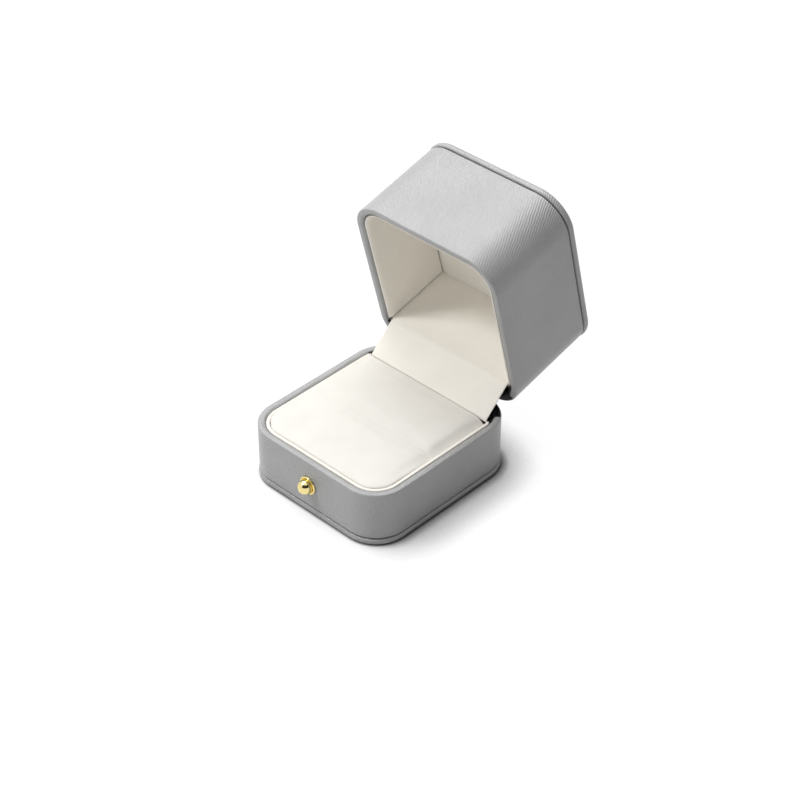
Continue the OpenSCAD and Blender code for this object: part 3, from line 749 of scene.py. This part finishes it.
def suede_on_card(name, s0, s1, half, soft_start, soft_end):
    """The lining's face between two lengths, half wide to each side, its free edges rolled."""
    rows = graded(s1 - s0, 6, 0.7 * MM, 0.25 * MM)
    across = [2 * g - 1 for g in graded(1.0, 6, 0.7 / 49.8, 1.2 / 49.8)]
    front, rear = [], []
    for row in rows:
        (y, z), (ny, nz) = back_profile(s0 + row)
        for a in across:
            x = a * half
            inside = min([half - abs(x)] + [row] * soft_start + [s1 - s0 - row] * soft_end)
            thick = roll(inside, SUEDE_T - 0.02 * MM, 0.42 * MM)
            near_edge = (1 - min(1, inside / (2.2 * MM))) ** 2 * min(1, inside / (0.3 * MM))
            thick -= 0.10 * MM * near_edge
            back = (y - ny * SUEDE_T, z - nz * SUEDE_T)
            front.append((x, back[0] + ny * thick, back[1] + nz * thick))
            rear.append((x, *back))
    n, m = len(rows), len(across)
    faces = []
    for i in range(n - 1):
        for j in range(m - 1):
            quad = (i * m + j, i * m + j + 1, (i + 1) * m + j + 1, (i + 1) * m + j)
            faces += [quad, tuple(reversed([k + n * m for k in quad]))]
    for i, soft in ((0, soft_start), (n - 1, soft_end)):
        if not soft:
            faces += [(i * m + j, i * m + j + 1, n * m + i * m + j + 1, n * m + i * m + j)
                      for j in range(m - 1)]
    obj = mesh_object(name, front + rear, [], faces)
    obj.data.materials.append(lining_suede_painted_lighter)
    tidy_mesh(obj)
    smooth_by_angle(obj, 60)
    lid_place(obj, mirrored=False)
    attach(obj, "lid")
    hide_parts("lid_back_suede")
    return obj


FOLD_LEAD = FOLD_R * math.tan(FLAP_TILT / 2)
FOLD_START = DEEP_Z - FOLD_Z - FOLD_LEAD - 0.3 * MM
FOOT_END = (DEEP_Z - FOLD_Z + FLAP_LEN - 2 * FOLD_LEAD + FOLD_R * FLAP_TILT
            + HEM_R * (HEM_TILT - FLAP_TILT) + HEM_LEN)
suede_on_card("lid_back_lining", 0, FOLD_START, PANEL_HALF, True, False)
flap = suede_on_card("hinge_flap", FOLD_START, FOOT_END, FLAP_HALF, False, True)
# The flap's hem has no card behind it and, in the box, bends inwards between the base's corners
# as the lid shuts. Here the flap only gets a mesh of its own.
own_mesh(flap)

PAD_RISE = 0.25 * MM
levels = [(2.0 * MM, 0.4 * MM), (2.0 * MM, 0.15 * MM), (2.15 * MM, 0.0), (3.7 * MM, 0.0)]
levels += [((3.7 + 0.5 * i) * MM, -PAD_RISE * (1 - (1 - i / 6) ** 2)) for i in range(1, 7)]
levels += [(9.5 * MM, -PAD_RISE * 1.1)]
deep = from_loops("lid_deep_lining", [[(x, y, DEEP_Z + z) for x, y in plan_loop(inset)]
                                      for inset, z in levels])
deep.data.materials.append(lining_suede_painted_lighter)
tidy_mesh(deep)
smooth_by_angle(deep, 50)
lid_place(deep, mirrored=False)
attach(deep, "lid")
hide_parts("lid_deep_suede")
for node in ("lid_back_card", "lid_flap_card", "lid_deep_card"):
    dress(node, greyboard)
pad_foam = own_material("pad_foam", (0.55, 0.52, 0.42), (0.72, 0.69, 0.60), 2500.0, (0.85, 0.95),
                        relief_depth=0.05 * MM)
dress("lid_spacer_foam", pad_foam)

# ---------------------------------------------------------------- slit cushion
# Two foam halves, each wrapped in ivory suede and pressed together, so that a slit runs between
# them. They fill the room inside the collar and rise a little above the rim.
CUSHION_HALF, SLIT_Y, SLIT_HALF = 24.22 * MM, -2.8 * MM, 0.01 * MM
CUSHION_FRONT, CUSHION_REAR = -26.22 * MM, 20.46 * MM
CUSHION_Z0, CUSHION_TOP = 4.3 * MM, 19.3 * MM
CROWN, CREASE, SETTLED, CREASE_HALF = 0.25 * MM, 0.10 * MM, 1.7 * MM, 2.0 * MM
SIDE_ROWS, SHOULDER_ROWS, FACE_ROWS = 9, 8, 30
SIM_SCALE, VOXEL, SIM_CAP, SIM_FRAMES = 10, 0.006, 0.25 * MM, 20
GLUED_HEIGHT, NEIGHBOURS, SMOOTHED_OVER = 1.5 * MM, 24, 0.7 * MM


def step_up(value, low, high):
    """0 below low, 1 above high, and a smooth rise between."""
    t = min(max((value - low) / (high - low), 0), 1)
    return t * t * (3 - 2 * t)


def top_height(x, y):
    """The cushion's face: a slight crown, a crease along the slit, and the right edge settled
    where the foam is tired, more so towards the rear."""
    crown = CROWN * ((abs(x) / (24 * MM)) ** 4 + (abs(y - SLIT_Y) / (23 * MM)) ** 4)
    crease = CREASE * max(0, 1 - abs(y - SLIT_Y) / CREASE_HALF) ** 2
    settled = step_up(y, -22 * MM, 12 * MM) * (1 - step_up(CUSHION_HALF - x, 0, 3.6 * MM))
    return CUSHION_TOP - crown - crease - SETTLED * settled


def shoulder(y):
    """Width and depth of the rolled edge at y: tight along the slit, a little looser along the
    rear, where the flap comes down."""
    slit = 1 - step_up(abs(y - SLIT_Y), 0, 1.2 * MM)
    rear = 1 - step_up(CUSHION_REAR - y, 0, 1.2 * MM)
    return (0.85 - 0.65 * slit - 0.55 * rear) * MM, (0.45 - 0.34 * slit - 0.26 * rear) * MM


def half_loop(y0, y1, front_r, rear_r, inset, steps=10, side_steps=24):
    """Outline of a cushion half drawn in by inset."""
    x, a, b = CUSHION_HALF - inset, y0 + inset, y1 - inset
    f, r = max(front_r - inset, 0.2 * MM), max(rear_r - inset, 0.2 * MM)
    corners = [(x - f, a + f, f, -90), (x - r, b - r, r, 0), (r - x, b - r, r, 90),
               (f - x, a + f, f, 180)]
    arcs = [[(cx + radius * math.cos(math.radians(start + 90 * k / steps)),
              cy + radius * math.sin(math.radians(start + 90 * k / steps)))
             for k in range(steps + 1)] for cx, cy, radius, start in corners]
    loop = []
    for i, arc in enumerate(arcs):
        last, stop = arc[-1], arcs[(i + 1) % 4][0]
        loop += arc + [(last[0] + (stop[0] - last[0]) * k / side_steps,
                        last[1] + (stop[1] - last[1]) * k / side_steps)
                       for k in range(1, side_steps)]
    return loop


def settle(half, y0, y1):
    """Cloth simulation: a copy of the cover, ten times as large, is blown up a little over its
    foam and drawn tight; the cover then moves as the copy did, held where collar and neighbour
    press on it."""
    copy = bpy.data.objects.new("cover_in_press", half.data.copy())
    bpy.context.collection.objects.link(copy)
    copy.data.transform(Matrix.Scale(SIM_SCALE, 4))
    remesh = copy.modifiers.new("remesh", "REMESH")
    remesh.mode, remesh.voxel_size = "VOXEL", VOXEL
    copy = as_plain_mesh(copy, copy.name)
    rest = np.array([v.co for v in copy.data.vertices])
    pinned = copy.vertex_groups.new(name="glued_to_board")
    glued = rest[:, 2] < (CUSHION_Z0 + GLUED_HEIGHT) * SIM_SCALE
    pinned.add([int(i) for i in np.nonzero(glued)[0]], 1.0, "REPLACE")
    cloth = copy.modifiers.new("cloth", "CLOTH")
    cloth.settings.quality = 5
    cloth.settings.mass = 0.3
    cloth.settings.tension_stiffness = cloth.settings.compression_stiffness = 25
    cloth.settings.bending_stiffness = 2.0
    cloth.settings.use_pressure = True
    cloth.settings.uniform_pressure_force = 4
    cloth.settings.effector_weights.gravity = 0
    cloth.settings.vertex_group_mass = "glued_to_board"
    cloth.collision_settings.use_collision = False
    cloth.point_cache.frame_start, cloth.point_cache.frame_end = 1, SIM_FRAMES
    for frame_number in range(1, SIM_FRAMES + 1):
        bpy.context.scene.frame_set(frame_number)
    graph = bpy.context.evaluated_depsgraph_get()
    blown = np.array([v.co for v in copy.evaluated_get(graph).data.vertices])
    bpy.context.scene.frame_set(1)
    bpy.data.objects.remove(copy, do_unlink=True)
    move = (blown - rest) / SIM_SCALE
    far = np.linalg.norm(move, axis=1, keepdims=True)
    move *= SIM_CAP / np.maximum(far, SIM_CAP)
    near = KDTree(len(rest))
    for i, spot in enumerate(rest / SIM_SCALE):
        near.insert(spot, i)
    near.balance()
    for vertex in half.data.vertices:
        found = near.find_n(vertex.co, NEIGHBOURS)
        weights = np.array([1 / (d * d + SMOOTHED_OVER ** 2) for _, _, d in found])
        shift = weights @ move[[i for _, i, _ in found]] / weights.sum()
        x, y, _ = vertex.co
        free = step_up(min(CUSHION_HALF - abs(x), y - y0, y1 - y), 0.2 * MM, 2.5 * MM)
        spot = np.array(vertex.co) + shift * free
        vertex.co = (min(max(spot[0], -CUSHION_HALF), CUSHION_HALF), min(max(spot[1], y0), y1),
                     max(spot[2], CUSHION_Z0))
    half.data.update()


def cushion_half(name, y0, y1, front_r, rear_r, nodes):
    """One half: straight sides, a rolled shoulder, and its crowned face."""
    middle_y, loops = (y0 + y1) / 2, []
    edge = half_loop(y0, y1, front_r, rear_r, 0)
    rims = [top_height(x, y) - shoulder(y)[1] for x, y in edge]
    for i in range(SIDE_ROWS):
        loops.append([(x, y, CUSHION_Z0 + i / SIDE_ROWS * (rim - CUSHION_Z0))
                      for (x, y), rim in zip(edge, rims)])
    for i in range(SHOULDER_ROWS):
        a, loop = math.radians(90 * i / (SHOULDER_ROWS - 1)), []
        for k, (_, edge_y) in enumerate(edge):
            wide, deep = shoulder(edge_y)
            x, y = half_loop(y0, y1, front_r, rear_r, wide * (1 - math.cos(a)))[k]
            loop.append((x, y, top_height(x, y) - deep * (1 - math.sin(a))))
        loops.append(loop)
    brow = loops[-1]
    for i in range(1, FACE_ROWS):
        s = 1 - i / FACE_ROWS
        inner = [(x * s, middle_y + (y - middle_y) * s) for x, y, _ in brow]
        loops.append([(x, y, top_height(x, y)) for x, y in inner])
    half = from_loops(name, loops)
    tidy_mesh(half)
    settle(half, y0, y1)
    half.data.materials.clear()
    half.data.materials.append(cushion_suede_painted_darker)
    half.data.shade_smooth()
    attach(half, "base")
    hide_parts(*nodes)
    return half


# Painted shade: the cushion's copy of the ivory suede is darker than the lining's, taking back
# light where the lamps fall strongly on the cushion
cushion_suede_painted_darker = suede("cushion_suede_ivory", (0.705, 0.685, 0.64), (0.835, 0.815, 0.77), 0.15)
cushion_half("cushion_front", CUSHION_FRONT, SLIT_Y - SLIT_HALF, 7.1 * MM, 0.5 * MM,
             ("cushion_front_cover", "cushion_front_foam"))
rear_half = cushion_half("cushion_rear", SLIT_Y + SLIT_HALF, CUSHION_REAR, 0.5 * MM, 0.6 * MM,
                         ("cushion_rear_cover", "cushion_rear_foam"))
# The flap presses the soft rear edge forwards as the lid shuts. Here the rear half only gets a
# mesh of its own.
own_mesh(rear_half)

# ---------------------------------------------------------------- snap hinge
# Two leaves of black lacquered sheet steel, folded over the rear rims and round both rear
# corners, rolled into five knuckles on a bright pin, and riveted through the back walls.
black_steel = own_material("black_lacquered_steel", (0.010, 0.010, 0.011), (0.019, 0.019, 0.020),
                           700.0, (0.30, 0.44), relief_depth=0.004 * MM)
bright_steel = own_material("nickelled_steel", (0.56, 0.55, 0.53), (0.70, 0.69, 0.67), 1800.0,
                            (0.18, 0.30), metal=1.0, relief_depth=0.002 * MM)
dress("hinge_base_leaf", black_steel)
dress("hinge_lid_leaf", black_steel)
dress("hinge_pin", bright_steel)
dress("hinge_snap_spring", bright_steel)


def turned(name, profile, steps, place):
    """A form turned round Z from (radius, height) pairs, then placed."""
    points, faces = [], []
    for r, h in profile:
        if r < 1e-9:
            points.append([(0, 0, h)])
        else:
            turns = [2 * math.pi * k / steps for k in range(steps)]
            points.append([(r * math.cos(turn), r * math.sin(turn), h) for turn in turns])
    flat = [p for loop in points for p in loop]
    starts = np.cumsum([0] + [len(loop) for loop in points])
    for i in range(len(points) - 1):
        a, b = len(points[i]), len(points[i + 1])
        for k in range(steps):
            j = (k + 1) % steps
            quad = [starts[i] + k % a, starts[i] + j % a,
                    starts[i + 1] + j % b, starts[i + 1] + k % b]
            faces.append([int(v) for n, v in enumerate(quad) if v not in quad[:n]])
    obj = mesh_object(name, flat, [], faces)
    obj.data.transform(place)
    tidy_mesh(obj)
    smooth_by_angle(obj, 50)
    return obj


RIVET_R, HEAD_R, HEAD_T, SPRING_T = 0.6 * MM, 1.2 * MM, 0.4 * MM, 0.4 * MM
FLANGE_Y, RIVET_END_Y, RIVET_DROP, RIVET_PITCH = 26.9 * MM, 29.05 * MM, 4.15 * MM, 11 * MM
rivet_profile = [(0, 0)]
for i in range(7):
    a = math.radians(90 * i / 6)
    rivet_profile.append((HEAD_R - 0.3 * MM * (1 - math.sin(a)) - 0.35 * MM * math.cos(a) ** 3,
                          0.28 * MM * (1 - math.cos(a))))
rivet_profile += [(HEAD_R, HEAD_T), (RIVET_R, HEAD_T)]

ROW = bpy.data.node_groups.new("row_of_rivets", "GeometryNodeTree")
for label, kind, value in [("Geometry", "NodeSocketGeometry", None),
                           ("Rivet", "NodeSocketObject", None), ("Count", "NodeSocketInt", 3),
                           ("Pitch", "NodeSocketFloat", RIVET_PITCH),
                           ("Metal", "NodeSocketMaterial", None)]:
    socket = ROW.interface.new_socket(label, in_out="INPUT", socket_type=kind)
    if value is not None:
        socket.default_value = value
ROW.interface.new_socket("Geometry", in_out="OUTPUT", socket_type="NodeSocketGeometry")
given, out = ROW.nodes.new("NodeGroupInput"), ROW.nodes.new("NodeGroupOutput")
places = ROW.nodes.new("GeometryNodeMeshLine")
step = ROW.nodes.new("ShaderNodeCombineXYZ")
ROW.links.new(given.outputs["Count"], places.inputs["Count"])
ROW.links.new(given.outputs["Pitch"], step.inputs["X"])
ROW.links.new(step.outputs["Vector"], places.inputs["Offset"])
shape = ROW.nodes.new("GeometryNodeObjectInfo")
ROW.links.new(given.outputs["Rivet"], shape.inputs["Object"])
placed = ROW.nodes.new("GeometryNodeInstanceOnPoints")
ROW.links.new(places.outputs["Mesh"], placed.inputs["Points"])
ROW.links.new(shape.outputs["Geometry"], placed.inputs["Instance"])
real = ROW.nodes.new("GeometryNodeRealizeInstances")
ROW.links.new(placed.outputs["Instances"], real.inputs["Geometry"])
coat = ROW.nodes.new("GeometryNodeSetMaterial")
ROW.links.new(real.outputs["Geometry"], coat.inputs["Geometry"])
ROW.links.new(given.outputs["Metal"], coat.inputs["Material"])
ROW.links.new(coat.outputs["Geometry"], out.inputs["Geometry"])


def rivet_row(name, z, heads, node, body):
    """Three rivets; heads holds how far each head stands off the flange."""
    parts = []
    for head, count, x in heads:
        length = RIVET_END_Y - FLANGE_Y + HEAD_T + head
        rivet = turned("rivet", rivet_profile + [(RIVET_R, length - 0.15 * MM),
                                                 (RIVET_R - 0.15 * MM, length), (0, length)], 32,
                       Matrix.Rotation(math.radians(-90), 4, "X"))
        row = mesh_object(name, [], [], [])
        set_up = row.modifiers.new("row", "NODES")
        set_up.node_group = ROW
        for item in ROW.interface.items_tree:
            value = {"Rivet": rivet, "Count": count, "Metal": bright_steel,
                     "Pitch": 2 * RIVET_PITCH if count == 2 else RIVET_PITCH}.get(item.name)
            if item.in_out == "INPUT" and value is not None:
                set_up[item.identifier] = value
        row = as_plain_mesh(row, name)
        bpy.data.objects.remove(rivet, do_unlink=True)
        row.data.transform(Matrix.Translation((x, FLANGE_Y - HEAD_T - head, z)))
        parts.append(row)
    whole = parts[0]
    if len(parts) > 1:
        joined = bmesh.new()
        for part in parts:
            joined.from_mesh(part.data)
        joined.to_mesh(whole.data)
        joined.free()
        bpy.data.objects.remove(parts[1], do_unlink=True)
    tidy_mesh(whole)
    smooth_by_angle(whole, 40)
    if body == "lid":
        lid_place(whole, mirrored=False)
    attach(whole, body)
    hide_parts(node)


rivet_row("base_rivets", BASE_H - RIVET_DROP, [(0, 2, -RIVET_PITCH), (SPRING_T, 1, 0)],
          "hinge_base_rivets", "base")
rivet_row("lid_rivets", BASE_H + SEAM + RIVET_DROP, [(0, 3, -RIVET_PITCH)],
          "hinge_lid_rivets", "lid")

# ---------------------------------------------------------------- thumb stud
# Turned brass, polished and gilt: a ball on a short shank, a round rosette behind it against the
# front wall, and a washer that holds the shank inside.
STUD_Z, FACE_Y = 10.6 * MM, -BOX_D / 2
BALL_R, BALL_OUT, SHANK_R, ROSETTE_R = 2.35 * MM, 1.25 * MM, 0.9 * MM, 3.05 * MM
SHANK_IN, SHANK_TO_BALL, ROSETTE_EDGE_R = -2.85 * MM, 0.32 * MM, 0.35 * MM
gold = own_material("polished_gilt_brass", (0.80, 0.67, 0.28), (0.88, 0.75, 0.35), 2600.0,
                    (0.07, 0.14), metal=1.0, relief_depth=0.001 * MM)
out_of_face = Matrix.Translation((0, FACE_Y, STUD_Z)) @ Matrix.Rotation(math.radians(90), 4, "X")
ball = [(0, SHANK_IN), (SHANK_R - 0.15 * MM, SHANK_IN), (SHANK_R, SHANK_IN + 0.15 * MM),
        (SHANK_R, -1.0 * MM), (SHANK_R, SHANK_TO_BALL)]
start = math.acos((BALL_OUT - SHANK_TO_BALL) / BALL_R)
for i in range(41):
    a = (math.pi - start) * (1 - i / 40)
    ball.append((BALL_R * math.sin(a), BALL_OUT + BALL_R * math.cos(a)))
stud = turned("thumb_stud", ball, 64, out_of_face)
stud.data.materials.append(gold)
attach(stud, "base")
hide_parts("stud")

rosette_profile = [(SHANK_R, 0), (ROSETTE_R - 0.2 * MM, 0)]
for i in range(13):
    a = math.radians(-90 + 180 * i / 12)
    rosette_profile.append((ROSETTE_R - ROSETTE_EDGE_R * (1 - math.cos(a)),
                            ROSETTE_EDGE_R * (1 + math.sin(a))))
rosette_profile += [(2.55 * MM, 0.66 * MM), (2.4 * MM, 0.45 * MM), (2.25 * MM, 0.3 * MM),
                    (SHANK_R, 0.28 * MM), (SHANK_R, 0)]
rosette = turned("stud_rosette_disc", rosette_profile, 96, out_of_face)
rosette.data.materials.append(gold)
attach(rosette, "base")
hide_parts("stud_rosette")
dress("stud_washer", bright_steel)
